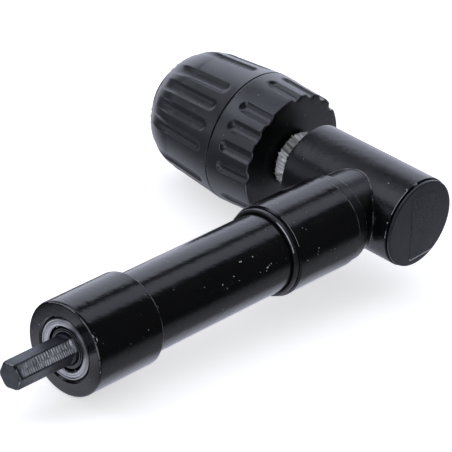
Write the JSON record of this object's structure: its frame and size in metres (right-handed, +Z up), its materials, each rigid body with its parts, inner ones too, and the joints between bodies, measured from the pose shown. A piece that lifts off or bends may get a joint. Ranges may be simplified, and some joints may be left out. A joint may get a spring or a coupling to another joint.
{
  "type": "right angle drill adapter",
  "caption": "Black right angle drill adapter: a hex shank and bevel gears in a tubular handle and round head drive a keyless three jaw chuck.",
  "frame": {"origin": "middle of the flat back face of the head, on the spindle's axis", "axes": "+Y along the spindle from the head's back to the chuck's nose, -X along the handle towards the hex shank, +Z up across both"},
  "size_m": [0.1776, 0.1052, 0.0448],
  "materials": {
    "black_paint": "gloss black paint with small chips",
    "dark_steel": "satin blackened steel",
    "bright_steel": "bright ground steel",
    "gear_steel": "machined and oiled steel",
    "charcoal_plastic": "matte moulded plastic with fine grain",
    "black_rubber": "matte rubber"
  },
  "bodies": {
    "housing": {"head_housing": "black_paint", "head_end_cap": "dark_steel", "bearing_ring_nut": "dark_steel", "neck_lock_ring": "black_paint", "grip_sleeve": "black_paint", "sleeve_seal": "black_rubber", "handle_tube": "black_paint", "front_collar": "black_paint", "front_bearing_outer_ring": "bright_steel", "neck_bearing_outer_ring": "bright_steel", "spindle_bearing_outer_ring": "bright_steel", "tail_bearing_outer_ring": "bright_steel", "neck_snap_ring": "dark_steel"},
    "input": {"input_shaft": "dark_steel", "drive_pinion": "gear_steel", "pinion_pin": "dark_steel", "shaft_snap_ring": "dark_steel", "front_bearing_inner_ring": "dark_steel", "neck_bearing_inner_ring": "dark_steel"},
    "chuck": {"chuck_body": "gear_steel", "spindle": "gear_steel", "spindle_gear": "gear_steel", "gear_pin": "dark_steel", "spindle_snap_ring": "dark_steel", "spindle_bearing_inner_ring": "dark_steel", "tail_bearing_inner_ring": "dark_steel", "chuck_screw": "dark_steel", "hub_ring": "bright_steel", "nose_ring": "dark_steel", "rear_sleeve": "charcoal_plastic", "thrust_race": "bright_steel"},
    "sleeve": {"front_sleeve": "charcoal_plastic", "nut_half_1": "gear_steel", "nut_half_2": "gear_steel", "nut_band": "dark_steel"},
    "jaw_a": {"jaw_1": "gear_steel"},
    "jaw_b": {"jaw_2": "gear_steel"},
    "jaw_c": {"jaw_3": "gear_steel"},
    "front_cage": {"front_bearing_balls": "bright_steel"},
    "neck_cage": {"neck_bearing_balls": "bright_steel"},
    "spindle_cage": {"spindle_bearing_balls": "bright_steel"},
    "tail_cage": {"tail_bearing_balls": "bright_steel"},
    "thrust_cage": {"thrust_balls": "bright_steel"}
  },
  "joints": [
    {"name": "chuck_spin", "type": "hinge", "parent": "housing", "child": "chuck", "pos_m": [0, 0.0389, 0], "axis": [0, 1, 0], "continuous": true},
    {"name": "input_spin", "type": "hinge", "parent": "housing", "child": "input", "pos_m": [-0.1313, 0.0197, 0], "axis": [1, 0, 0], "continuous": true},
    {"name": "sleeve_turn", "type": "hinge", "parent": "chuck", "child": "sleeve", "pos_m": [0, 0.0904, 0], "axis": [0, -1, 0], "range_deg": [0, 2768]},
    {"name": "front_cage_spin", "type": "hinge", "parent": "housing", "child": "front_cage", "pos_m": [-0.1313, 0.0197, 0], "axis": [1, 0, 0], "continuous": true},
    {"name": "neck_cage_spin", "type": "hinge", "parent": "housing", "child": "neck_cage", "pos_m": [-0.0163, 0.0197, 0], "axis": [1, 0, 0], "continuous": true},
    {"name": "spindle_cage_spin", "type": "hinge", "parent": "housing", "child": "spindle_cage", "pos_m": [0, 0.0389, 0], "axis": [0, 1, 0], "continuous": true},
    {"name": "tail_cage_spin", "type": "hinge", "parent": "housing", "child": "tail_cage", "pos_m": [0, 0.004, 0], "axis": [0, 1, 0], "continuous": true},
    {"name": "thrust_cage_turn", "type": "hinge", "parent": "chuck", "child": "thrust_cage", "pos_m": [0, 0.0862, 0], "axis": [0, -1, 0], "range_deg": [0, 1385]},
    {"name": "jaw_slide_1", "type": "slide", "parent": "chuck", "child": "jaw_a", "axis": [-0.2924, 0.9563, 0], "range_m": [0, 0.0154]},
    {"name": "jaw_slide_2", "type": "slide", "parent": "chuck", "child": "jaw_b", "axis": [0.1462, 0.9563, 0.2532], "range_m": [0, 0.0154]},
    {"name": "jaw_slide_3", "type": "slide", "parent": "chuck", "child": "jaw_c", "axis": [0.1462, 0.9563, -0.2532], "range_m": [0, 0.0154]}
  ],
  "couplings": [
    {"joint": "input_spin", "follows": "chuck_spin", "ratio": 1},
    {"joint": "front_cage_spin", "follows": "chuck_spin", "ratio": 0.4193},
    {"joint": "neck_cage_spin", "follows": "chuck_spin", "ratio": 0.4193},
    {"joint": "spindle_cage_spin", "follows": "chuck_spin", "ratio": 0.4133},
    {"joint": "tail_cage_spin", "follows": "chuck_spin", "ratio": 0.4133},
    {"joint": "thrust_cage_turn", "follows": "sleeve_turn", "ratio": 0.5},
    {"joint": "jaw_slide_1", "follows": "sleeve_turn", "m_per_rad": 0.00031831},
    {"joint": "jaw_slide_2", "follows": "sleeve_turn", "m_per_rad": 0.00031831},
    {"joint": "jaw_slide_3", "follows": "sleeve_turn", "m_per_rad": 0.00031831}
  ]
}
